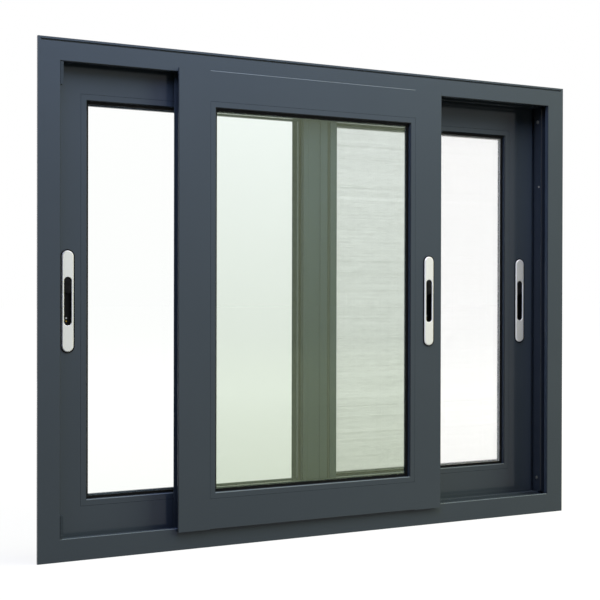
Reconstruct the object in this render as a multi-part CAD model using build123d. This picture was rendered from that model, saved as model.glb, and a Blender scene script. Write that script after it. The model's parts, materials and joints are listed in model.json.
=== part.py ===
"""Three-track horizontal sliding window in powder-coated aluminium.

Frame: X runs along the sill, Y runs from the handle side to the far side, Z is up.
The origin is on the sill's underside, half way along it and half way through its depth.
Two glazed sashes run in the front and middle tracks and an insect-screen sash in the rear one.
"""

import os

from build123d import *

# Outer frame, in millimetres
WINDOW_W = 1250.0
WINDOW_H = 1000.0
FRAME_FACE = 44.0
FLANGE_T = 6.0
WEB_T = 3.0
HEAD_GROOVE_IN = 4.0
HEAD_GROOVE_W = 3.5
HEAD_GROOVE_D = 3.0
REBATE_IN = 19.5
REBATE_D = 20.0
RAIL_T = 12.0
TRACK_PITCH = 36.0
JAMB_RAIL_DROP = 5.5
EDGE_R = 1.5

# Sashes
SASH_T = 28.0
SASH_OVERLAP = 7.0
SIDE_OVERLAP = 21.5
RUN_CLEAR = 5.0
PAST_MIDDLE = {"front": 20.5, "left": 29.5, "right": 29.5}
FRONT_SASH_OPEN = 257.0
RIGHT_SASH_OPEN = 17.5
LEG_T = 3.0
TOP_CHANNEL = 20.0
BOTTOM_CHANNEL = 27.0
STILE_W = 68.5
SASH_RAIL_H = 62.0
INTERLOCK_W = 40.0
INTERLOCK_RISE = 1.5
PILE_GROOVE_IN = 16.0
PILE_GROOVE_W = 7.0
PILE_GROOVE_D = 3.0

# Glazing
BEAD_W = 12.5
BEAD_T = 9.0
BEAD_GAP = 0.4
BEAD_CHAMFER = 1.5
GLASS_T = 6.0
SCREEN_T = 1.2
GASKET_T = 3.0
GASKET_SHOW = 5.0
REAR_GASKET_SHOW = 1.0
RAIL_LEG_RISE = 7.0
EDGE_COVER = 9.0

# Handles
HANDLE_DROP = 2.0
PLATE_L = 196.0
PLATE_W = 23.0
PLATE_T = 2.2
PLATE_CHAMFER = 1.5
SLOT_CHAMFER = 0.8
CUP_RIM = 2.5
CUP_RIM_T = 0.8
HANDLE_IN = {"front": 33.5, "left": 42.5, "right": 37.5}
SLOT_L = 94.0
SLOT_W = 15.0
CUP_DEPTH = 9.0
CUP_WALL = 2.0
POCKET_GAP = 0.25
THUMB_L = 28.0
THUMB_W = 10.0
THUMB_RISE = 9.5
THUMB_TOP_GAP = 6.0
THUMB_CHAMFER = 2.0

# Rollers
ROLLER_R = 8.0
ROLLER_W = 7.0
ROLLER_LIFT = 0.3
ROLLER_IN = 110.0
AXLE_R = 2.0
AXLE_GAP = 0.05
HOUSING_L = 56.0
HOUSING_W = 17.0
CHEEK_T = 3.0
CHEEK_DROP = 14.0
HOUSING_ROOF = 2.5

# Jamb fittings
INFILL_T = 2.5
INFILL_LEG = 12.0
INFILL_END_GAP = 0.5
FIXING_R = 3.25
FIXING_IN = 76.0
BUFFER_L = 44.0
BUFFER_T = 5.5
BUFFER_ROUND = 2.0

# Sizes that follow from the ones above
WEB = FRAME_FACE - SIDE_OVERLAP - RUN_CLEAR
FLANGE_REACH = WEB - WEB_T
REBATE_FLOOR = REBATE_IN + WEB_T
FRAME_FRONT = -TRACK_PITCH - RAIL_T / 2
FRAME_BACK = TRACK_PITCH + RAIL_T / 2
TRACK_Y = {"front": -TRACK_PITCH, "left": 0.0, "right": TRACK_PITCH}
OPENING_X = WINDOW_W / 2 - FRAME_FACE
JAMB_TIP_X = OPENING_X + JAMB_RAIL_DROP
CLOSED_X = OPENING_X + SIDE_OVERLAP
SIDE_CHANNEL = CLOSED_X - JAMB_TIP_X + RUN_CLEAR
SASH_W = {sash: CLOSED_X + reach for sash, reach in PAST_MIDDLE.items()}
SASH_H = WINDOW_H - 2 * FRAME_FACE + 2 * SASH_OVERLAP
SASH_Z = FRAME_FACE - SASH_OVERLAP
SASH_X = {
    "front": -CLOSED_X + FRONT_SASH_OPEN,
    "left": -CLOSED_X,
    "right": CLOSED_X - RIGHT_SASH_OPEN - SASH_W["right"],
}
LOCK_SIDE = {"front": "right", "left": "left", "right": "right"}
REAR_LEG_T = SASH_T - BEAD_T - 2 * GASKET_T - GLASS_T
HANDLE_Z = WINDOW_H / 2 - HANDLE_DROP


def section(points, rounded=()):
    """Closed outline as a face, with the listed corners rounded."""
    face = make_face(Polyline(*points, close=True))
    corners = [
        vertex
        for vertex in face.vertices()
        if any(abs(vertex.X - a) + abs(vertex.Y - b) < 1e-6 for a, b in rounded)
    ]
    return fillet(corners, EDGE_R) if corners else face


def along_x(face, start, length):
    """Carry a (y, z) section along X."""
    return extrude(Plane.YZ.offset(start) * face, length)


def along_z(face, start, length):
    """Carry an (x, y) section up Z."""
    return extrude(Plane.XY.offset(start) * face, length)


def facing_front(x, y, z):
    """Plane that looks out of the window's front, with Z up."""
    return Plane((x, y, z), x_dir=(1, 0, 0), z_dir=(0, -1, 0))


def block(x, y, z):
    """Box between pairs of limits along each axis."""
    size = [high - low for low, high in (x, y, z)]
    middle = [(high + low) / 2 for low, high in (x, y, z)]
    return Pos(*middle) * Box(*size)


def mitred_bar(face, length, width):
    """Bar along X from a (y, inward) section, both ends cut at 45 degrees."""
    half = length / 2
    bar = along_x(face, -half, length)
    outline = ((-half, 0), (half, 0), (half - width, width), (width - half, width))
    trapezium = Plane.XZ * make_face(Polyline(*outline, close=True))
    return bar & extrude(trapezium, 2 * SASH_T + FRAME_BACK, both=True)


def mitred_ring(faces, width, height, bar_width):
    """Four mitred bars round a rectangle that stands on z = 0 about x = 0, each from its own section."""
    lie = {
        "bottom": Pos(0, 0, 0),
        "top": Pos(0, 0, height) * Rot(0, 180, 0),
        "left": Pos(-width / 2, 0, height / 2) * Rot(0, 90, 0),
        "right": Pos(width / 2, 0, height / 2) * Rot(0, -90, 0),
    }
    length = {"bottom": width, "top": width, "left": height, "right": height}
    return {place: lie[place] * mitred_bar(faces[place], length[place], bar_width) for place in lie}


def frame_section(place):
    """Comb of three rails on a web, as a (y, inward) outline.

    The head, which is drawn turned over, has a groove along its face. The jambs' rear two rails are
    lower, and the left jamb's web steps in at the rear, behind the sash that closes there, to leave
    room for its rebate.
    """
    front, middle, rear = TRACK_Y.values()
    half = RAIL_T / 2
    rear_tip = FRAME_FACE - (JAMB_RAIL_DROP if place in ("left", "right") else 0)
    points = [(FRAME_FRONT, 0)]
    if place == "top":
        groove_end, groove_floor = HEAD_GROOVE_IN + HEAD_GROOVE_W, FRAME_FRONT + HEAD_GROOVE_D
        points += [
            (FRAME_FRONT, HEAD_GROOVE_IN), (groove_floor, HEAD_GROOVE_IN),
            (groove_floor, groove_end), (FRAME_FRONT, groove_end),
        ]
    points += [
        (FRAME_FRONT, FRAME_FACE), (front + half, FRAME_FACE), (front + half, WEB),
        (middle - half, WEB), (middle - half, rear_tip), (middle + half, rear_tip), (middle + half, WEB),
    ]
    if place == "left":
        step = middle + SASH_T / 2 + RUN_CLEAR
        points += [(step, WEB), (step, REBATE_FLOOR), (rear - half, REBATE_FLOOR)]
    else:
        points.append((rear - half, WEB))
    points += [(rear - half, rear_tip), (FRAME_BACK, rear_tip), (FRAME_BACK, 0)]
    return section(points, [(FRAME_FRONT, FRAME_FACE), (front + half, FRAME_FACE)])


def behind_flange():
    """The frame's outer limits: the front flange, and a body set in behind it at the sides and the top."""
    side = WINDOW_W / 2
    body_x = (FLANGE_REACH - side, side - FLANGE_REACH)
    body = block(body_x, (FRAME_FRONT, FRAME_BACK), (0, WINDOW_H - FLANGE_REACH))
    rebate = block((-side, REBATE_IN - side), (FRAME_BACK - REBATE_D, FRAME_BACK), (0, WINDOW_H))
    flange = block((-side, side), (FRAME_FRONT, FRAME_FRONT + FLANGE_T), (0, WINDOW_H))
    return body - rebate + flange


def fixing_holes(side, track_y):
    """Two fixing holes right through a jamb, on one rail's middle plane."""
    x = side * (WINDOW_W / 2 - FRAME_FACE / 2)
    hole = Rot(0, 90, 0) * Cylinder(FIXING_R, 2 * FRAME_FACE)
    return [Pos(x, track_y, z) * hole for z in (FIXING_IN, WINDOW_H - FIXING_IN)]


def jamb_infill(side, track_y):
    """Channel-shaped cover that caps the jamb rail of a track no sash closes into."""
    half, inner = SASH_T / 2, SASH_T / 2 - LEG_T
    points = [
        (0, -half), (INFILL_T, -half), (INFILL_T, half), (0, half), (-INFILL_LEG, half),
        (-INFILL_LEG, inner), (0, inner), (0, -inner), (-INFILL_LEG, -inner), (-INFILL_LEG, -half),
    ]
    outline = [(side * (JAMB_TIP_X - depth), track_y + y) for depth, y in points]
    rounded = [outline[1], outline[2]]
    height = WINDOW_H - 2 * FRAME_FACE - 2 * INFILL_END_GAP
    strip = along_z(section(outline, rounded), FRAME_FACE + INFILL_END_GAP, height)
    return strip - fixing_holes(side, track_y)


def jamb_buffers():
    """Two rubber blocks on the left jamb's front rail that stop the front sash."""
    x = (-OPENING_X, -OPENING_X + BUFFER_T)
    y = (FRAME_FRONT, FRAME_FRONT + RAIL_T)
    low, high = FRAME_FACE + INFILL_END_GAP, WINDOW_H - FRAME_FACE - INFILL_END_GAP
    blocks = [block(x, y, (low, low + BUFFER_L)), block(x, y, (high - BUFFER_L, high))]
    return [fillet(each.edges().filter_by(Axis.Y).sort_by(Axis.X)[-2:], BUFFER_ROUND) for each in blocks]


def build_frame():
    """The four frame bars, the two infills and the buffers."""
    faces = {place: frame_section(place) for place in ("bottom", "top", "left", "right")}
    limits = behind_flange()
    ring = mitred_ring(faces, WINDOW_W, WINDOW_H, FRAME_FACE)
    bars = {place: bar & limits for place, bar in ring.items()}
    return {
        "sill": [bars["bottom"]],
        "head": [bars["top"]],
        "left_jamb": [bars["left"] - fixing_holes(-1, TRACK_Y["right"])],
        "right_jamb": [bars["right"] - fixing_holes(1, TRACK_Y["left"])],
        "left_jamb_infill": [jamb_infill(-1, TRACK_Y["right"])],
        "right_jamb_infill": [jamb_infill(1, TRACK_Y["left"])],
        "left_jamb_buffers": jamb_buffers(),
    }


def stile(sash, side):
    """Upright of a sash: a channel on its outer edge, a glazing leg on its inner one, notched for rails."""
    y = TRACK_Y[sash]
    front, back = y - SASH_T / 2, y + SASH_T / 2
    edge = SASH_X[sash] if side == "left" else SASH_X[sash] + SASH_W[sash]
    way = 1 if side == "left" else -1

    def across(p):
        return edge + way * p

    body = section(
        [
            (across(0), front), (across(STILE_W), front), (across(STILE_W), back), (across(0), back),
            (across(0), back - LEG_T), (across(SIDE_CHANNEL), back - LEG_T),
            (across(SIDE_CHANNEL), front + LEG_T), (across(0), front + LEG_T),
        ],
        [(across(0), front), (across(0), back)],
    )
    bar = along_z(body, SASH_Z, SASH_H)
    limits_x = sorted((across(STILE_W), across(STILE_W + BEAD_W)))
    limits_z = (SASH_Z + SASH_RAIL_H, SASH_Z + SASH_H - SASH_RAIL_H)
    bar += block(limits_x, (back - REAR_LEG_T, back), limits_z)
    whole = sorted((across(0), across(STILE_W)))
    inside = (front + LEG_T, back - LEG_T)
    bar -= block(whole, inside, (SASH_Z, SASH_Z + BOTTOM_CHANNEL))
    bar -= block(whole, inside, (SASH_Z + SASH_H - TOP_CHANNEL, SASH_Z + SASH_H))
    if side == LOCK_SIDE[sash]:
        spare = 2 * (CUP_WALL + POCKET_GAP)
        pocket = Rectangle(SLOT_W + spare, SLOT_L + spare)
        depth = CUP_DEPTH + CUP_WALL + POCKET_GAP
        bar -= extrude(facing_front(across(HANDLE_IN[sash]), front, HANDLE_Z) * pocket, -depth)
        return bar
    length = (SASH_Z, SASH_Z + SASH_H)

    def strip(start, width):
        return sorted((across(start), across(start + width)))

    if sash == "front":
        bar -= block(strip(SIDE_CHANNEL + LEG_T, PILE_GROOVE_W), (back - PILE_GROOVE_D, back), length)
    if sash == "left":
        raised = front - INTERLOCK_RISE
        bar += block(strip(0, INTERLOCK_W), (raised, front + LEG_T), length)
        bar -= block(strip(PILE_GROOVE_IN, PILE_GROOVE_W), (raised, raised + PILE_GROOVE_D), length)
    return bar


def sash_rail(sash, place):
    """Cross bar of a sash: the track channel on its outer edge, a tall glazing leg on its inner one."""
    y = TRACK_Y[sash]
    front, back = y - SASH_T / 2, y + SASH_T / 2
    edge = SASH_Z if place == "bottom" else SASH_Z + SASH_H
    way = 1 if place == "bottom" else -1
    channel = BOTTOM_CHANNEL if place == "bottom" else TOP_CHANNEL

    def across(q):
        return edge + way * q

    body = section(
        [
            (front, across(0)), (front, across(SASH_RAIL_H)), (back, across(SASH_RAIL_H)), (back, across(0)),
            (back - LEG_T, across(0)), (back - LEG_T, across(channel)),
            (front + LEG_T, across(channel)), (front + LEG_T, across(0)),
        ],
        [(front, across(0)), (back, across(0))],
    )
    left, right = SASH_X[sash] + STILE_W, SASH_X[sash] + SASH_W[sash] - STILE_W
    limits_z = sorted((across(SASH_RAIL_H), across(SASH_RAIL_H + BEAD_W + RAIL_LEG_RISE)))
    leg = block((left + BEAD_W, right - BEAD_W), (back - REAR_LEG_T, back), limits_z)
    return along_x(body, left, right - left) + leg


def beads(sash):
    """Four mitred glazing beads that clip in on the handle side."""
    front = TRACK_Y[sash] - SASH_T / 2
    face = section([
        (front, 0), (front + BEAD_T, 0), (front + BEAD_T, BEAD_W - BEAD_GAP),
        (front + BEAD_CHAMFER, BEAD_W - BEAD_GAP), (front, BEAD_W - BEAD_GAP - BEAD_CHAMFER),
    ])
    width = SASH_W[sash] - 2 * STILE_W - 2 * BEAD_GAP
    height = SASH_H - 2 * SASH_RAIL_H - 2 * BEAD_GAP
    faces = dict.fromkeys(("bottom", "top", "left", "right"), face)
    ring = mitred_ring(faces, width, height, BEAD_W - BEAD_GAP)
    place = Pos(SASH_X[sash] + SASH_W[sash] / 2, 0, SASH_Z + SASH_RAIL_H + BEAD_GAP)
    return [place * bar for bar in ring.values()]


def pane_limits(sash, inset):
    """X and Z limits of a rectangle set in from the clear opening, or out of it where inset is negative."""
    left = SASH_X[sash] + STILE_W + BEAD_W + inset
    right = SASH_X[sash] + SASH_W[sash] - STILE_W - BEAD_W - inset
    low = SASH_Z + SASH_RAIL_H + BEAD_W + inset
    high = SASH_Z + SASH_H - SASH_RAIL_H - BEAD_W - inset
    return (left, right), (low, high)


def seal_ring(sash, depth, show):
    """Ring between two depths behind a sash's face, from the pane's edge to just inside the clear opening."""
    front = TRACK_Y[sash] - SASH_T / 2
    limits_y = (front + depth[0], front + depth[1])
    x, z = pane_limits(sash, -EDGE_COVER)
    hole_x, hole_z = pane_limits(sash, show)
    return block(x, limits_y, z) - block(hole_x, limits_y, hole_z)


def glazing(sash):
    """The pane and the rings that hold it between bead and glazing leg: seals, and splines round a screen."""
    front = TRACK_Y[sash] - SASH_T / 2
    pane_t = SCREEN_T if sash == "right" else GLASS_T
    middle = BEAD_T + GASKET_T + GLASS_T / 2
    near, far = middle - pane_t / 2, middle + pane_t / 2
    seat_near, seat_far = middle - GLASS_T / 2, middle + GLASS_T / 2
    x, z = pane_limits(sash, -EDGE_COVER)
    pane = block(x, (front + near, front + far), z)
    seals = [
        seal_ring(sash, (BEAD_T, seat_near), GASKET_SHOW),
        seal_ring(sash, (seat_far, seat_far + GASKET_T), REAR_GASKET_SHOW),
    ]
    if sash != "right":
        return {"glass": [pane], "gaskets": seals}
    splines = [
        seal_ring(sash, (seat_near, near), GASKET_SHOW),
        seal_ring(sash, (far, seat_far), REAR_GASKET_SHOW),
    ]
    return {"screen": [pane], "gaskets": seals, "screen_spline": splines}


def handle(sash):
    """Stadium plate, the finger cup behind its slot with a rim round the plate, and the thumb piece."""
    front = TRACK_Y[sash] - SASH_T / 2
    inset = HANDLE_IN[sash]
    x = SASH_X[sash] + (inset if LOCK_SIDE[sash] == "left" else SASH_W[sash] - inset)
    face = facing_front(x, front, HANDLE_Z)
    seat = facing_front(x, front - CUP_RIM_T, HANDLE_Z)
    slot = SlotOverall(SLOT_L, SLOT_W, rotation=90)
    plate = extrude(seat * SlotOverall(PLATE_L, PLATE_W, rotation=90), PLATE_T)
    plate = chamfer(plate.faces().sort_by(Axis.Y)[0].edges(), PLATE_CHAMFER)
    plate -= extrude(seat * slot, PLATE_T)
    mouth = plate.faces().sort_by(Axis.Y)[0].inner_wires()[0]
    plate = chamfer(mouth.edges(), SLOT_CHAMFER)
    cup_outer = Rectangle(SLOT_W + 2 * CUP_WALL, SLOT_L + 2 * CUP_WALL)
    rim = SlotOverall(PLATE_L + 2 * CUP_RIM, PLATE_W + 2 * CUP_RIM, rotation=90)
    cup = extrude(face * cup_outer, -(CUP_DEPTH + CUP_WALL)) + extrude(face * rim, CUP_RIM_T)
    cup -= extrude(seat * slot, -(CUP_DEPTH + CUP_RIM_T))
    thumb_z = HANDLE_Z + (SLOT_L - THUMB_L) / 2 - THUMB_TOP_GAP
    floor = facing_front(x, front + CUP_DEPTH, thumb_z)
    thumb = extrude(floor * SlotOverall(THUMB_L, THUMB_W, rotation=90), THUMB_RISE)
    thumb = chamfer(thumb.faces().sort_by(Axis.Y)[0].edges(), THUMB_CHAMFER)
    return plate, cup, thumb


def rollers(sash):
    """Two wheels on the sill rail and the housings that hang them in the bottom channel."""
    y = TRACK_Y[sash]
    roof = SASH_Z + BOTTOM_CHANNEL
    axle_z = FRAME_FACE + ROLLER_LIFT + ROLLER_R
    wheels, housings = [], []
    for x in (SASH_X[sash] + ROLLER_IN, SASH_X[sash] + SASH_W[sash] - ROLLER_IN):
        lie = Pos(x, y, axle_z) * Rot(90, 0, 0)
        wheels.append(lie * (Cylinder(ROLLER_R, ROLLER_W) + Cylinder(AXLE_R, HOUSING_W)))
        limits_x = (x - HOUSING_L / 2, x + HOUSING_L / 2)
        shell = block(limits_x, (y - HOUSING_W / 2, y + HOUSING_W / 2), (roof - CHEEK_DROP, roof))
        inner = HOUSING_W / 2 - CHEEK_T
        shell -= block(limits_x, (y - inner, y + inner), (roof - CHEEK_DROP, roof - HOUSING_ROOF))
        housings.append(shell - lie * Cylinder(AXLE_R + AXLE_GAP, HOUSING_W))
    return wheels, housings


def build_sash(sash):
    """Every piece of one sash, named for the sash it belongs to."""
    lock = LOCK_SIDE[sash]
    other = "left" if lock == "right" else "right"
    plate, cup, thumb = handle(sash)
    wheels, housings = rollers(sash)
    pieces = glazing(sash) | {
        "lock_stile": [stile(sash, lock)],
        "meeting_stile": [stile(sash, other)],
        "top_rail": [sash_rail(sash, "top")],
        "bottom_rail": [sash_rail(sash, "bottom")],
        "beads": beads(sash),
        "handle_plate": [plate],
        "finger_cup": [cup],
        "thumb_latch": [thumb],
        "rollers": wheels,
        "roller_housings": housings,
    }
    return {f"{sash}_sash_{name}": solids for name, solids in pieces.items()}


def main():
    os.makedirs("parts", exist_ok=True)
    nodes = build_frame()
    for sash in TRACK_Y:
        nodes |= build_sash(sash)
    for name, pieces in nodes.items():
        solids = [solid for piece in pieces for solid in piece.solids()]
        export_step(Compound(children=solids) if len(solids) > 1 else solids[0], f"parts/{name}.step")


if __name__ == "__main__":
    main()
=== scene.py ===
"""Looks of a three-track sliding window: coated aluminium, float glass, an insect screen and pale handles.

Everything is in metres in the part's own frame: X along the sill, Y from the handle side back, Z up.
"""

import json
import math

import bpy
import numpy as np
from mathutils import Matrix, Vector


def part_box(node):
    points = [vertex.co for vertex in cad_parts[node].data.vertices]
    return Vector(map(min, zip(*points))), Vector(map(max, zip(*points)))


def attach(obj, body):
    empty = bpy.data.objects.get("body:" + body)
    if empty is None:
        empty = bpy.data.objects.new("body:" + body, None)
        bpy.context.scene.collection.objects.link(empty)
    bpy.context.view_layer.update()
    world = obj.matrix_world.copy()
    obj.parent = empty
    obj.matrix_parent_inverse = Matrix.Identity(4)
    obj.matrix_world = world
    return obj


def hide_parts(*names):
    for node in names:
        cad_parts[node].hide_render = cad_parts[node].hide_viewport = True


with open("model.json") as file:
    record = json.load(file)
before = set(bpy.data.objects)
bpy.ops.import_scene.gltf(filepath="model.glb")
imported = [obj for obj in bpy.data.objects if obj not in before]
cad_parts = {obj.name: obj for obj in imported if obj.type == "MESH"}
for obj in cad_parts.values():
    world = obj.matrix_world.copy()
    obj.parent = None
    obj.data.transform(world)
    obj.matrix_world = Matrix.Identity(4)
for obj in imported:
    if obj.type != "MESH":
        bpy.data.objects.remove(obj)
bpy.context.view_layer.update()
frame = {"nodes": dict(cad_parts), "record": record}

MM = 0.001
SASHES = ("front_sash", "left_sash", "right_sash")

# Camera, as worked out from the photo's edges
CAMERA_PLACE = (-1.16222, -2.21656, 0.51345)
CAMERA_YAW = 26.65
CAMERA_PITCH = -0.31
CAMERA_ROLL = -0.12
CAMERA_FOCAL_PIXELS = 1157.72
FRAME_PIXELS = 600
SENSOR_MM = 36.0

# Light; the floor's lift goes from its near value to its far one between two distances from the window
EVEN_LIGHT = 0.03
FLOOR_LIFT_NEAR, FLOOR_LIFT_FAR = 0.89, 1.0
FLOOR_NEAR, FLOOR_FAR = 0.8, 3.5
FLOOR_REACH = 40.0
FLOOR_COLOUR = "#606060"
LAMPS = {  # place, size, watts and colour
    "key_softbox": ((6.6, -2.0, 3.3), (7.0, 4.4), 945, "#FDFFE3"),
    "top_left_softbox": ((-0.4, -0.6, 1.9), (2.0, 1.4), 41, "#C4D0FF"),
    "top_right_softbox": ((0.8, -0.6, 2.1), (2.0, 1.4), 29, "#FFEB80"),
    "back_softbox": ((-2.0, 4.2, 0.8), (2.6, 1.2), 130, "#F4F8FF"),
}
LIGHT_TARGET = (0.0, 0.0, 0.55)

# Finishes: the normal's largest part along an axis on edges, where highlight and shade are painted, its
# part along +Z on edges that face up, the range that most noise lies in, and how strongly a relief shows
EDGE_STARTS, EDGE_FULL = 0.99, 0.94
UPWARD_STARTS, UPWARD_FULL = 0.1, 0.3
NOISE_LOW, NOISE_HIGH = 0.3, 0.7
RELIEF_STRENGTH = 0.5

# Insect screen
THREAD_PITCH = 1.6 * MM
THREAD_WIDTH = 0.42 * MM
THREAD_SIDES = 6
THREAD_STEPS = 6
THREAD_WANDER = 0.10
THREAD_BOW = 0.12 * MM
BOW_WAVES = 1.5
WIDTH_WANDER = {"upright": 0.12, "cross": 0.34}
WIDTH_RUN = 3
WIDTH_SPARE = 4
SCREEN_SEED = 11
# Painted shade on the yarn behind the front sash: how far it fades past the sash's edge, its streaks' sizes
# and colours, and the yarn's own colour
SHADE_FADE_PAST_SASH = 42 * MM
SHADE_STREAK_SIZES = (26 * MM, 10 * MM, 5 * MM)
SHADE_STREAK_COLOURS = ("#8F958F", "#F0F2EF")
UNSHADED_YARN = "#FEFEFD"

# Screws
FIXING_HEAD_R, FIXING_HEAD_RISE = 4.6 * MM, 1.6 * MM
CUP_SCREW_R, CUP_SCREW_RISE = 1.9 * MM, 0.9 * MM
STILE_SCREW_R, STILE_SCREW_RISE = 2.4 * MM, 0.7 * MM
RIVET_Y, RIVET_Z = -4.5 * MM, 769 * MM
STILE_SCREW_IN, STILE_SCREW_Z = 45 * MM, 211 * MM
HEAD_EYE, HEAD_FALL = 0.02, 0.45
RECESS_HALF, RECESS_REACH = 0.13, 0.62
HEAD_RINGS = 14
HEAD_SECTORS = 40

# Finger cups and thumb pieces: the cup's depth, half the plate's slot, the screws' heights above the slot's
# foot, and the pad's top above the plate's middle, its size and its shape
CUP_DEPTH = 9.0 * MM
SLOT_HALF = 47.0 * MM
CUP_SCREWS = {"zinc": 14.0 * MM, "brass": 8.0 * MM}
PAD_TOP, PAD_LENGTH, PAD_HALF = 45.5 * MM, 31.0 * MM, 7.2 * MM
PAD_RISE, PAD_WAIST, PAD_DIP = 1.6 * MM, 0.5, 0.22
PAD_TIP = 0.05
PAD_ROWS, PAD_COLUMNS = 33, 21

# Pile seals; each goes by its distance from the outer edge of its meeting stile
PILE_STEP = 1.5 * MM
PILE_COLUMNS = 9
PILE_RISE = 2.8 * MM
PILE_WIDTH = 6.6 * MM
PILE_UNEVEN = 0.22
PILE_END = 1 * MM
GROOVE_D = 3.0 * MM
PILE_IN = {"left_sash": 19.5 * MM, "front_sash": 27.5 * MM}
PILE_SEED = 5


def grid_quads(rows, columns, close_columns=False):
    """Quads between neighbours of a rows by columns grid of points, joined round the columns when closed."""
    across = np.arange(columns if close_columns else columns - 1)
    row, column = np.meshgrid(np.arange(rows - 1) * columns, across, indexing="ij")
    after = (column + 1) % columns
    corners = (row + column, row + after, row + columns + after, row + columns + column)
    return np.stack([corner.ravel() for corner in corners], axis=1)


def joined(pieces):
    """Several (points, faces) pairs as one pair."""
    points, faces, start = [], [], 0
    for some_points, some_faces in pieces:
        points.append(some_points)
        faces += [[index + start for index in face] for face in some_faces]
        start += len(some_points)
    return np.concatenate(points), faces


def put_piece(name, shape, finish, body):
    """A new smooth object at the origin from a (points, faces) pair, with its finish and body."""
    points, faces = shape
    mesh = bpy.data.meshes.new(name)
    mesh.from_pydata(points.tolist(), [], faces)
    mesh.polygons.foreach_set("use_smooth", np.ones(len(mesh.polygons), bool))
    mesh.materials.append(FINISHES[finish])
    piece = bpy.data.objects.new(name, mesh)
    bpy.context.scene.collection.objects.link(piece)
    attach(piece, body)
    return piece


def linear(hex_colour):
    """sRGB hex to the linear colour that a shader takes."""
    srgb = np.array([int(hex_colour[i:i + 2], 16) for i in (1, 3, 5)]) / 255
    low, high = srgb / 12.92, ((srgb + 0.055) / 1.055) ** 2.4
    return (*np.where(srgb <= 0.04045, low, high).tolist(), 1.0)


def add_node(tree, kind, inputs=None, **settings):
    """One node with its settings, and a link or a value for each input that is given by name or number."""
    node = tree.nodes.new(kind)
    for name, value in settings.items():
        setattr(node, name, value)
    for name, value in (inputs or {}).items():
        if isinstance(value, bpy.types.NodeSocket):
            tree.links.new(value, node.inputs[name])
        else:
            node.inputs[name].default_value = value
    return node


def new_material(name, **sockets):
    """A node material with one Principled shader whose plain values are given, and its tree and output."""
    material = bpy.data.materials.new(name)
    material.use_nodes = True
    tree = material.node_tree
    tree.nodes.clear()
    values = {socket.replace("_", " "): value for socket, value in sockets.items()}
    shader = add_node(tree, "ShaderNodeBsdfPrincipled", values)
    output = add_node(tree, "ShaderNodeOutputMaterial", {"Surface": shader.outputs["BSDF"]})
    return material, tree, shader, output


def mottled(name, colours, cloud, gloss, patch, relief, height, edge=None, **sockets):
    """A finish whose colour, gloss and relief all vary a little over the piece's own coordinates.

    colours are the two ends of the colour and cloud is the size of its patches; gloss is the two ends of the
    roughness and patch the size of its patches; relief is the pitch of the surface's grain and height its
    depth. edge is two colours painted on rounded and chamfered edges as highlight and shade, which are
    found by how far the surface leans off its axes: the first for edges that face up, the second for the
    rest.
    """
    material, tree, shader, _ = new_material(name, **sockets)
    place = add_node(tree, "ShaderNodeTexCoord").outputs["Object"]
    clouds = add_node(tree, "ShaderNodeTexNoise", {"Vector": place, "Scale": 1 / cloud, "Detail": 3.0})
    mix = {0: clouds.outputs["Fac"], 6: linear(colours[0]), 7: linear(colours[1])}
    colour = add_node(tree, "ShaderNodeMix", mix, data_type="RGBA").outputs[2]
    if edge:
        normal = add_node(tree, "ShaderNodeNewGeometry").outputs["True Normal"]
        lean = add_node(tree, "ShaderNodeVectorMath", {0: normal}, operation="ABSOLUTE").outputs["Vector"]
        lean = add_node(tree, "ShaderNodeSeparateXYZ", {"Vector": lean}).outputs
        most = add_node(tree, "ShaderNodeMath", {0: lean["X"], 1: lean["Y"]}, operation="MAXIMUM").outputs[0]
        most = add_node(tree, "ShaderNodeMath", {0: most, 1: lean["Z"]}, operation="MAXIMUM").outputs[0]
        limits = {"Value": most, "From Min": EDGE_STARTS, "From Max": EDGE_FULL}
        on_edge = add_node(tree, "ShaderNodeMapRange", limits).outputs["Result"]
        rise = add_node(tree, "ShaderNodeSeparateXYZ", {"Vector": normal}).outputs["Z"]
        limits = {"Value": rise, "From Min": UPWARD_STARTS, "From Max": UPWARD_FULL}
        upward = add_node(tree, "ShaderNodeMapRange", limits).outputs["Result"]
        # Painted light on edges: a highlight on those that face up; on the rest, shade on the coats and a
        # highlight on the enamel
        mix = {0: upward, 6: linear(edge[1]), 7: linear(edge[0])}
        painted_edge_light = add_node(tree, "ShaderNodeMix", mix, data_type="RGBA").outputs[2]
        mix = {0: on_edge, 6: colour, 7: painted_edge_light}
        colour = add_node(tree, "ShaderNodeMix", mix, data_type="RGBA").outputs[2]
    tree.links.new(colour, shader.inputs["Base Color"])
    patches = add_node(tree, "ShaderNodeTexNoise", {"Vector": place, "Scale": 1 / patch, "Detail": 2.0})
    limits = {"From Min": NOISE_LOW, "From Max": NOISE_HIGH, "To Min": gloss[0], "To Max": gloss[1]}
    roughness = add_node(tree, "ShaderNodeMapRange", {"Value": patches.outputs["Fac"], **limits})
    tree.links.new(roughness.outputs["Result"], shader.inputs["Roughness"])
    grain = add_node(tree, "ShaderNodeTexNoise", {"Vector": place, "Scale": 1 / relief, "Detail": 1.0})
    rises = {"Height": grain.outputs["Fac"], "Distance": height, "Strength": RELIEF_STRENGTH}
    bump = add_node(tree, "ShaderNodeBump", rises)
    tree.links.new(bump.outputs["Normal"], shader.inputs["Normal"])
    return material


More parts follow.
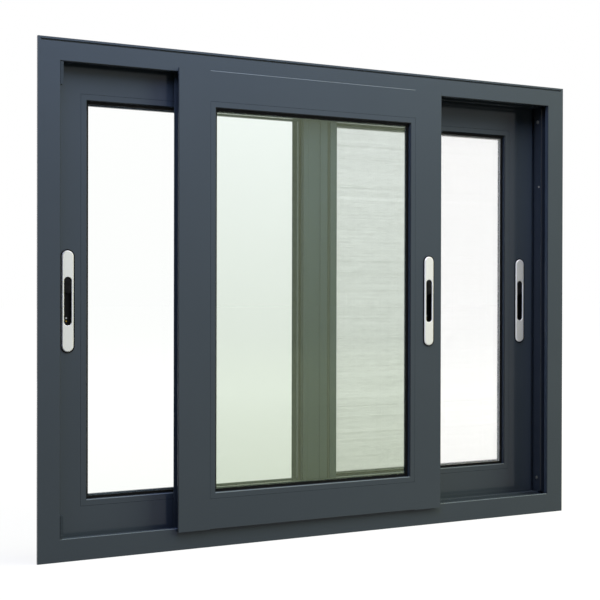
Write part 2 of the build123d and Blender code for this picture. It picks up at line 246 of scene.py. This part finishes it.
def float_glass(name, foot_tint, head_tint, ior, glare):
    """Float glass: flat, bright and clear, with a faint cast; painted shade darkens it towards the foot.

    Rays from lamps pass straight through it, so that what is behind it is lit.
    """
    sockets = {"Transmission_Weight": 1.0, "Roughness": 0.0, "IOR": ior, "Specular_Tint": linear(glare)}
    material, tree, shader, output = new_material(name, **sockets)
    place = add_node(tree, "ShaderNodeTexCoord").outputs["Object"]
    height = add_node(tree, "ShaderNodeSeparateXYZ", {"Vector": place}).outputs["Z"]
    low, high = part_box("front_sash_glass")
    share = add_node(tree, "ShaderNodeMapRange", {"Value": height, "From Min": low.z, "From Max": high.z})
    # Painted shade: the tint darkens from the pane's head towards its foot
    mix = {0: share.outputs["Result"], 6: linear(foot_tint), 7: linear(head_tint)}
    tint = add_node(tree, "ShaderNodeMix", mix, data_type="RGBA").outputs[2]
    tree.links.new(tint, shader.inputs["Base Color"])
    clear = add_node(tree, "ShaderNodeBsdfTransparent", {"Color": tint})
    shadow = add_node(tree, "ShaderNodeLightPath").outputs["Is Shadow Ray"]
    mix = {0: shadow, 1: shader.outputs["BSDF"], 2: clear.outputs["BSDF"]}
    pane = add_node(tree, "ShaderNodeMixShader", mix)
    tree.links.new(pane.outputs["Shader"], output.inputs["Surface"])
    return material


def screen_yarn():
    """Clear vinyl on glass-fibre yarn: pale, dull, bright against the light, shade painted behind the front
    sash.

    The painted shade lies in streaks along the cross threads up to the front sash's edge and fades out a
    short way past it; the streaks are drawn three threads high so that they show. The index is far under
    vinyl's
    1.5, so that light from behind comes nearly straight through.
    """
    material, tree, shader, _ = new_material(
        "vinyl_coated_glass_yarn", Roughness=0.5, Transmission_Weight=0.9, IOR=1.08,
    )
    place = add_node(tree, "ShaderNodeTexCoord").outputs["Object"]
    stretch = {"Vector": place, "Scale": [1 / size for size in SHADE_STREAK_SIZES]}
    stretched = add_node(tree, "ShaderNodeMapping", stretch).outputs["Vector"]
    streaks = add_node(tree, "ShaderNodeTexNoise", {"Vector": stretched, "Scale": 1.0, "Detail": 4.0})
    # Painted shade: darker streaks on the yarn behind the front sash
    mix = {0: streaks.outputs["Fac"], 6: linear(SHADE_STREAK_COLOURS[0]), 7: linear(SHADE_STREAK_COLOURS[1])}
    painted_shade = add_node(tree, "ShaderNodeMix", mix, data_type="RGBA").outputs[2]
    across = add_node(tree, "ShaderNodeSeparateXYZ", {"Vector": place}).outputs["X"]
    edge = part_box("front_sash_lock_stile")[1].x
    limits = {"Value": across, "From Min": edge + SHADE_FADE_PAST_SASH, "From Max": edge}
    share = add_node(tree, "ShaderNodeMapRange", limits).outputs["Result"]
    mix = {0: share, 6: linear(UNSHADED_YARN), 7: painted_shade}
    colour = add_node(tree, "ShaderNodeMix", mix, data_type="RGBA").outputs[2]
    tree.links.new(colour, shader.inputs["Base Color"])
    return material


# The real pitch of the grain on rubber, moulded nylon and scratched metal is about a tenth of these reliefs;
# it is drawn coarser so that it shows
RUBBER = {"cloud": 12 * MM, "gloss": (0.55, 0.75), "patch": 4 * MM, "relief": 1.5 * MM, "height": 0.03 * MM}
NYLON = {"cloud": 15 * MM, "gloss": (0.35, 0.47), "patch": 3 * MM, "relief": 0.8 * MM, "height": 0.02 * MM}
METAL = {
    "cloud": 2 * MM, "gloss": (0.2, 0.35), "patch": 1 * MM, "relief": 0.5 * MM, "height": 0.01 * MM,
    "Metallic": 1.0,
}


def make_finishes():
    """Every finish on the window, by a short name."""
    return {
        # Polyester powder baked on aluminium: an even blue-grey anthracite with a faint sheen; a highlight is
        # painted on edges that face up and shade on the rest. The orange peel's real pitch is about half a
        # millimetre; it is drawn at 3 mm so that it shows
        "coat": mottled(
            "anthracite_powder_coat", ("#3D464F", "#424B54"), cloud=180 * MM, gloss=(0.09, 0.14),
            patch=45 * MM, relief=3 * MM, height=0.01 * MM, edge=("#656E75", "#262C31"),
            Specular_IOR_Level=0.16,
        ),
        # The same powder on the jambs' cover strips, smoother, and painted darker as shade; a highlight is
        # painted on edges that face up and shade on the rest
        "strip": mottled(
            "gloss_powder_coat", ("#30373E", "#353C43"), cloud=180 * MM, gloss=(0.05, 0.08),
            patch=45 * MM, relief=3 * MM, height=0.004 * MM, edge=("#3A4249", "#1C2126"),
            Specular_IOR_Level=0.3,
        ),
        # Float glass, a little green on the front sash, with painted shade towards its foot, and clear on the
        # left one. Their indices stand off glass's usual 1.5 to match how strongly each pane mirrors the
        # studio
        "front_glass": float_glass("green_float_glass", "#CFD8CA", "#F3FAF6", 1.62, "#EFFFD6"),
        "left_glass": float_glass("clear_float_glass", "#FBFDFB", "#FEFFFE", 1.12, "#FFFFFF"),
        # Extruded EPDM rubber: nearly black and dull
        "gasket": mottled("black_gasket_rubber", ("#070808", "#0D0E0E"), **RUBBER, Specular_IOR_Level=0.15),
        # The same rubber coloured to the frame, a little duller than the coat
        "buffer": mottled("grey_buffer_rubber", ("#2A3238", "#2F373D"), **RUBBER, Specular_IOR_Level=0.3),
        # Soft vinyl cord that wedges the screen in: pale grey and matt
        "spline": mottled("pale_spline_vinyl", ("#B9BDB8", "#CDD0CB"), **RUBBER),
        # Pearl enamel with metal flake on a die casting: silvery white, with highlight painted on its edges
        "enamel": mottled(
            "pearl_silver_enamel", ("#DCDEDC", "#E3E5E2"), cloud=25 * MM, gloss=(0.4, 0.48), patch=9 * MM,
            relief=1.2 * MM, height=0.015 * MM, edge=("#FFFFFF", "#F9FAF8"), Metallic=0.35,
        ),
        # Injection-moulded nylon with a soft shine: black in the cups, rubbed dark grey on the thumb pieces
        # and milky on the rollers
        "cup": mottled("black_moulded_nylon", ("#040404", "#080809"), **NYLON, Specular_IOR_Level=0.12),
        "thumb": mottled(
            "dark_grey_nylon", ("#0B0B0C", "#232324"), **(NYLON | {"cloud": 4 * MM}), Specular_IOR_Level=0.05,
        ),
        "roller": mottled("natural_nylon", ("#CFCDC2", "#DAD8CE"), **NYLON),
        # Screw metals, lightly scratched: bright zinc plate, plain brass and a dull dark-grey steel
        "zinc": mottled("zinc_plated_steel", ("#A9ACAE", "#C9CCCE"), **METAL),
        "brass": mottled("plain_brass", ("#9C7F35", "#B89A4A"), **METAL),
        "dark_screw": mottled("dull_grey_steel", ("#70757A", "#8A8F93"), **METAL),
        "yarn": screen_yarn(),
        # Polypropylene pile: dark fibres standing close, with light on their tips
        "pile": mottled(
            "dark_pile_fibre", ("#1B1D1E", "#3A3D3F"), cloud=0.8 * MM, gloss=(0.85, 0.95), patch=5 * MM,
            relief=0.7 * MM, height=0.3 * MM,
        ),
    }


FINISHES = make_finishes()
NODE_FINISHES = {
    "gaskets": "gasket", "screen_spline": "spline", "handle_plate": "enamel", "finger_cup": "cup",
    "thumb_latch": "thumb", "rollers": "roller", "roller_housings": "cup", "left_jamb_buffers": "buffer",
    "front_sash_glass": "front_glass", "left_sash_glass": "left_glass", "jamb_infill": "strip",
}


def finish_nodes():
    """Give every CAD node its finish by the end of its name; the rest are powder-coated."""
    for name, node in frame["nodes"].items():
        finish = next((made for ending, made in NODE_FINISHES.items() if name.endswith(ending)), "coat")
        node.data.materials.clear()
        node.data.materials.append(FINISHES[finish])


def thread_bundle(starts, ends, widths, bows, side):
    """Tubes between matching starts and ends, as one (points, faces) pair.

    Point (i, s, k) is thread i's start carried s steps to its end, bowed along side by the thread's bow times
    a sine of BOW_WAVES waves, plus half the thread's width times point k of a circle round it.
    """
    share = np.linspace(0, 1, THREAD_STEPS + 1)
    middle = starts[:, None] + share[None, :, None] * (ends - starts)[:, None]
    middle = middle + (bows[:, None] * np.sin(2 * math.pi * BOW_WAVES * share))[..., None] * side
    turn = np.linspace(0, 2 * math.pi, THREAD_SIDES, endpoint=False)
    along = (ends[0] - starts[0]) / np.linalg.norm(ends[0] - starts[0])
    circle = np.cos(turn)[:, None] * side + np.sin(turn)[:, None] * np.cross(along, side)
    points = middle[:, :, None] + widths[:, None, None, None] / 2 * circle
    first = np.arange(len(starts))[:, None] * (THREAD_STEPS + 1) * THREAD_SIDES
    walls = (first[..., None] + grid_quads(THREAD_STEPS + 1, THREAD_SIDES, close_columns=True)).reshape(-1, 4)
    near_caps = first + np.arange(THREAD_SIDES)[::-1]
    far_caps = first + THREAD_STEPS * THREAD_SIDES + np.arange(THREAD_SIDES)
    return points.reshape(-1, 3), [*walls.tolist(), *near_caps.tolist(), *far_caps.tolist()]


def screen_mesh():
    """Insect screen: upright threads in front of cross threads, uneven in place, width and bow.

    Widths wander together over WIDTH_RUN neighbours, drawn with WIDTH_SPARE spare threads at each end.
    """
    low, high = (np.array(corner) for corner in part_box("right_sash_screen"))
    middle = (low[1] + high[1]) / 2
    draw = np.random.default_rng(SCREEN_SEED)
    bundles = []
    threads = {"upright": (0, 2, middle - THREAD_WIDTH / 2), "cross": (2, 0, middle + THREAD_WIDTH / 2)}
    for way, (axis, other, depth) in threads.items():
        count = int((high[axis] - low[axis]) / THREAD_PITCH)
        margin = THREAD_PITCH / 2
        places = np.linspace(low[axis] + margin, high[axis] - margin, count)
        places += draw.normal(size=count) * THREAD_PITCH * THREAD_WANDER
        drawn = draw.normal(size=count + 2 * WIDTH_SPARE)
        slow = np.convolve(drawn, np.ones(WIDTH_RUN) / WIDTH_RUN, mode="same")[WIDTH_SPARE:-WIDTH_SPARE]
        ends = np.zeros((2, count, 3))
        ends[:, :, axis] = places
        ends[:, :, 1] = depth
        ends[0, :, other], ends[1, :, other] = low[other], high[other]
        widths = THREAD_WIDTH * (1 + WIDTH_WANDER[way] * slow)
        bundles.append(thread_bundle(*ends, widths, draw.normal(size=count) * THREAD_BOW, np.eye(3)[axis]))
    piece = put_piece("right_sash_screen_mesh", joined(bundles), "yarn", "right_sash")
    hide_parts("right_sash_screen")


def screw_head(centre, out, radius, rise):
    """A pan head with a cross recess, as a (points, faces) pair; out is the unit direction that it faces.

    On a polar grid from HEAD_EYE out to 1 the height is rise times (1 - HEAD_FALL r^4), less a third of the
    radius inside two crossed slots, and a last ring drops the edge to the seat, which a flat face closes.
    """
    share = np.append(np.linspace(HEAD_EYE, 1, HEAD_RINGS), 1.0)
    turn = np.linspace(0, 2 * math.pi, HEAD_SECTORS, endpoint=False)
    across, up = np.outer(share, np.cos(turn)), np.outer(share, np.sin(turn))
    reach = np.hypot(across, up)
    slots = (np.minimum(abs(across), abs(up)) < RECESS_HALF) & (reach < RECESS_REACH)
    height = rise * (1 - HEAD_FALL * reach ** 4) - np.where(slots, radius / 3, 0)
    height[-1] = 0
    out = np.array(out, float)
    side = np.cross([0, 0, 1.0], out)
    top = np.cross(out, side)
    flat = radius * (across[..., None] * side + up[..., None] * top)
    points = np.array(centre) + flat + height[..., None] * out
    walls = grid_quads(len(share), HEAD_SECTORS, close_columns=True)[:, ::-1]
    ring = np.arange(HEAD_SECTORS)
    seat = (len(share) - 1) * HEAD_SECTORS + ring[::-1]
    return points.reshape(-1, 3), [*walls.tolist(), ring.tolist(), seat.tolist()]


def fixing_screws():
    """Frame screws, their heads over the jamb infills' fixing holes, and a small bright one on the right."""
    heads = []
    for mount in frame["record"]["mounts"]:
        if mount["kind"] != "bolt_pattern":
            continue
        side = mount["name"].split("_")[0]
        low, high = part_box(f"{side}_jamb_infill")
        face, way = (high.x, 1) if side == "left" else (low.x, -1)
        _, y, z = mount["pos_m"]
        half = mount["dims"]["spacing_y_mm"] * MM / 2
        for place in (z - half, z + half):
            heads.append(screw_head((face, y, place), (way, 0, 0), FIXING_HEAD_R, FIXING_HEAD_RISE))
    put_piece("jamb_fixing_screws", joined(heads), "dark_screw", "frame")
    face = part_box("right_jamb_infill")[0].x
    rivet = screw_head((face, RIVET_Y, RIVET_Z), (-1, 0, 0), STILE_SCREW_R, STILE_SCREW_RISE)
    put_piece("right_jamb_infill_rivet", rivet, "zinc", "frame")


def stile_screw():
    """Small screw low on the left sash's meeting stile, beside its interlock."""
    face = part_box("left_sash_beads")[0].y
    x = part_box("left_sash_meeting_stile")[1].x - STILE_SCREW_IN
    head = screw_head((x, face, STILE_SCREW_Z), (0, -1, 0), STILE_SCREW_R, STILE_SCREW_RISE)
    put_piece("left_sash_stile_screw", head, "dark_screw", "left_sash")


def handle_details(sash):
    """Two small screws at the foot of the finger cup and a two-bump pad over the thumb piece."""
    low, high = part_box(f"{sash}_handle_plate")
    x, z = (low.x + high.x) / 2, (low.z + high.z) / 2
    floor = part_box(f"{sash}_beads")[0].y + CUP_DEPTH
    for metal, rise in CUP_SCREWS.items():
        head = screw_head((x, floor, z - SLOT_HALF + rise), (0, -1, 0), CUP_SCREW_R, CUP_SCREW_RISE)
        put_piece(f"{sash}_cup_{metal}_screw", head, metal, sash)
    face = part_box(f"{sash}_thumb_latch")[0].y
    put_piece(f"{sash}_thumb_pad", thumb_pad(x, face, floor, z + PAD_TOP), "thumb", sash)


def thumb_pad(x, face, floor, top):
    """Soft pad over a thumb piece, with two bumps one above the other, as a (points, faces) pair.

    Over u across and v down, both from -1 to 1, its half width is PAD_HALF times the root of 1 - v^6, which
    is kept from falling under PAD_TIP. It stands off the thumb piece's face by PAD_RISE times
    (1 - u^4)(1 - v^4), less PAD_WAIST of that in a dip at v = 0, a bell curve PAD_DIP wide. A skirt drops
    from its rim to the floor of the finger cup, where a flat face closes it.
    """
    down = np.linspace(-1, 1, PAD_ROWS)[:, None]
    across = np.linspace(-1, 1, PAD_COLUMNS)[None]
    width = PAD_HALF * np.sqrt(np.clip(1 - down ** 6, PAD_TIP, 1))
    dip = 1 - PAD_WAIST * np.exp(-(down / PAD_DIP) ** 2)
    depth = face - PAD_RISE * (1 - across ** 4) * (1 - down ** 4) * dip
    height = top - (1 + down) / 2 * PAD_LENGTH + 0 * across
    crown = np.stack([x + across * width, depth, height], axis=-1).reshape(-1, 3)
    index = np.arange(len(crown)).reshape(PAD_ROWS, PAD_COLUMNS)
    rim = np.concatenate([index[0], index[1:, -1], index[-1, -2::-1], index[-2:0:-1, 0]])
    skirt = np.array([1, 0, 1]) * crown[rim] + np.array([0, floor, 0])
    foot = len(crown) + np.arange(len(rim))
    walls = np.stack([rim, np.roll(rim, -1), np.roll(foot, -1), foot], axis=1)
    faces = [*grid_quads(PAD_ROWS, PAD_COLUMNS)[:, ::-1].tolist(), *walls.tolist(), foot.tolist()]
    return np.concatenate([crown, skirt]), faces


def pile_strip(x, floor, way, limits, draw):
    """Pile in a groove, as a (points, faces) pair.

    Across X it is a half ellipse that stands PILE_RISE off the groove's floor in the direction way along Y,
    and each point's height is cut by up to PILE_UNEVEN of it at random, so that tufts show along Z. Flat
    faces close its back and ends.
    """
    count = int((limits[1] - limits[0]) / PILE_STEP)
    turn = np.linspace(0, math.pi, PILE_COLUMNS)[None]
    tufts = PILE_RISE * (1 - PILE_UNEVEN * draw.random((count, PILE_COLUMNS)))
    across = x - np.cos(turn) * PILE_WIDTH / 2 + np.zeros((count, 1))
    depth = floor + way * np.sin(turn) * tufts
    along = np.linspace(*limits, count)[:, None] + np.zeros((1, PILE_COLUMNS))
    points = np.stack([across, depth, along], axis=-1).reshape(-1, 3)
    ring = np.arange(PILE_COLUMNS)
    quads = grid_quads(count, PILE_COLUMNS, close_columns=True)
    faces = [*quads.tolist(), ring[::-1].tolist(), ((count - 1) * PILE_COLUMNS + ring).tolist()]
    return points, faces if way < 0 else [face[::-1] for face in faces]


def pile_seals():
    """Pile in the meeting stiles' grooves: on the left sash's handle side and the front sash's far side."""
    draw = np.random.default_rng(PILE_SEED)
    for sash, way in (("left_sash", -1), ("front_sash", 1)):
        low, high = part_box(f"{sash}_meeting_stile")
        x = high.x - PILE_IN[sash] if sash == "left_sash" else low.x + PILE_IN[sash]
        floor = low.y + GROOVE_D if way < 0 else high.y - GROOVE_D
        strip = pile_strip(x, floor, way, (low.z + PILE_END, high.z - PILE_END), draw)
        put_piece(f"{sash}_pile_seal", strip, "pile", sash)


def seen_share(tree):
    """1 for rays that show the background: from the camera, off gloss or through glass."""
    path = add_node(tree, "ShaderNodeLightPath")
    direct = {0: path.outputs["Is Camera Ray"], 1: path.outputs["Is Glossy Ray"]}
    direct = add_node(tree, "ShaderNodeMath", direct, operation="MAXIMUM")
    through = {0: direct.outputs[0], 1: path.outputs["Is Transmission Ray"]}
    return add_node(tree, "ShaderNodeMath", through, operation="MAXIMUM").outputs[0]


def studio_floor():
    """A matt floor that takes the window's shadow and is lifted to white where seen, more so further off."""
    material, tree, shader, _ = new_material(
        "pale_studio_floor", Base_Color=linear(FLOOR_COLOUR), Roughness=0.9, Specular_IOR_Level=0.0,
        Emission_Color=(1, 1, 1, 1),
    )
    place = add_node(tree, "ShaderNodeTexCoord").outputs["Object"]
    away = add_node(tree, "ShaderNodeVectorMath", {0: place}, operation="LENGTH").outputs["Value"]
    limits = {"Value": away, "From Min": FLOOR_NEAR, "From Max": FLOOR_FAR}
    limits |= {"To Min": FLOOR_LIFT_NEAR, "To Max": FLOOR_LIFT_FAR}
    strength = add_node(tree, "ShaderNodeMapRange", limits).outputs["Result"]
    lift = add_node(tree, "ShaderNodeMath", {0: seen_share(tree), 1: strength}, operation="MULTIPLY")
    tree.links.new(lift.outputs[0], shader.inputs["Emission Strength"])
    mesh = bpy.data.meshes.new("studio_floor")
    corners = FLOOR_REACH * np.array([(-1, -1, 0), (1, -1, 0), (1, 1, 0), (-1, 1, 0)])
    mesh.from_pydata(corners.tolist(), [], [(0, 1, 2, 3)])
    mesh.materials.append(material)
    floor = bpy.data.objects.new("studio_floor", mesh)
    bpy.context.scene.collection.objects.link(floor)


def studio_world():
    """White all round where it is seen, and only a faint even light for everything else."""
    world = bpy.data.worlds.new("white_studio")
    bpy.context.scene.world = world
    world.use_nodes = True
    tree = world.node_tree
    tree.nodes.clear()
    limits = {"Value": seen_share(tree), "To Min": EVEN_LIGHT, "To Max": 1.0}
    strength = add_node(tree, "ShaderNodeMapRange", limits).outputs["Result"]
    light = add_node(tree, "ShaderNodeBackground", {"Color": (1, 1, 1, 1), "Strength": strength})
    add_node(tree, "ShaderNodeOutputWorld", {"Surface": light.outputs["Background"]})


def placed(axes, place):
    """Matrix of an object at place whose own axes are the columns of axes."""
    return Matrix([[*row, at] for row, at in zip(axes.tolist(), place)] + [[0, 0, 0, 1]])


def softbox(name, place, size, power, colour):
    """A soft rectangular lamp that faces the window and isn't itself seen, in or through the panes either."""
    back = np.subtract(place, LIGHT_TARGET)
    back /= np.linalg.norm(back)
    right = np.cross([0, 0, 1.0], back)
    right /= np.linalg.norm(right)
    lamp = bpy.data.lights.new(name, "AREA")
    lamp.shape, lamp.size, lamp.size_y = "RECTANGLE", *size
    lamp.energy = power
    lamp.color = linear(colour)[:3]
    body = bpy.data.objects.new(name, lamp)
    body.matrix_world = placed(np.column_stack([right, np.cross(back, right), back]), place)
    body.visible_camera = body.visible_glossy = body.visible_transmission = False
    bpy.context.scene.collection.objects.link(body)


def photo_camera():
    """The photo's camera: yaw from +Y towards +X, pitch up, roll clockwise, focal length in pixels."""
    yaw, pitch, roll = (math.radians(turn) for turn in (CAMERA_YAW, CAMERA_PITCH, CAMERA_ROLL))
    ahead = np.array([math.sin(yaw) * math.cos(pitch), math.cos(yaw) * math.cos(pitch), math.sin(pitch)])
    right = np.array([math.cos(yaw), -math.sin(yaw), 0])
    down = np.cross(ahead, right)
    cos, sin = math.cos(roll), math.sin(roll)
    right, down = cos * right + sin * down, cos * down - sin * right
    lens = bpy.data.cameras.new("photo_camera")
    lens.sensor_width = SENSOR_MM
    lens.lens = CAMERA_FOCAL_PIXELS / FRAME_PIXELS * SENSOR_MM
    body = bpy.data.objects.new("photo_camera", lens)
    body.matrix_world = placed(np.column_stack([right, -down, -ahead]), CAMERA_PLACE)
    bpy.context.scene.collection.objects.link(body)
    bpy.context.scene.camera = body


finish_nodes()
screen_mesh()
fixing_screws()
stile_screw()
for sash in SASHES:
    handle_details(sash)
pile_seals()
studio_floor()
studio_world()
for name, lamp in LAMPS.items():
    softbox(name, *lamp)
photo_camera()
bpy.context.scene.view_settings.view_transform = "Standard"
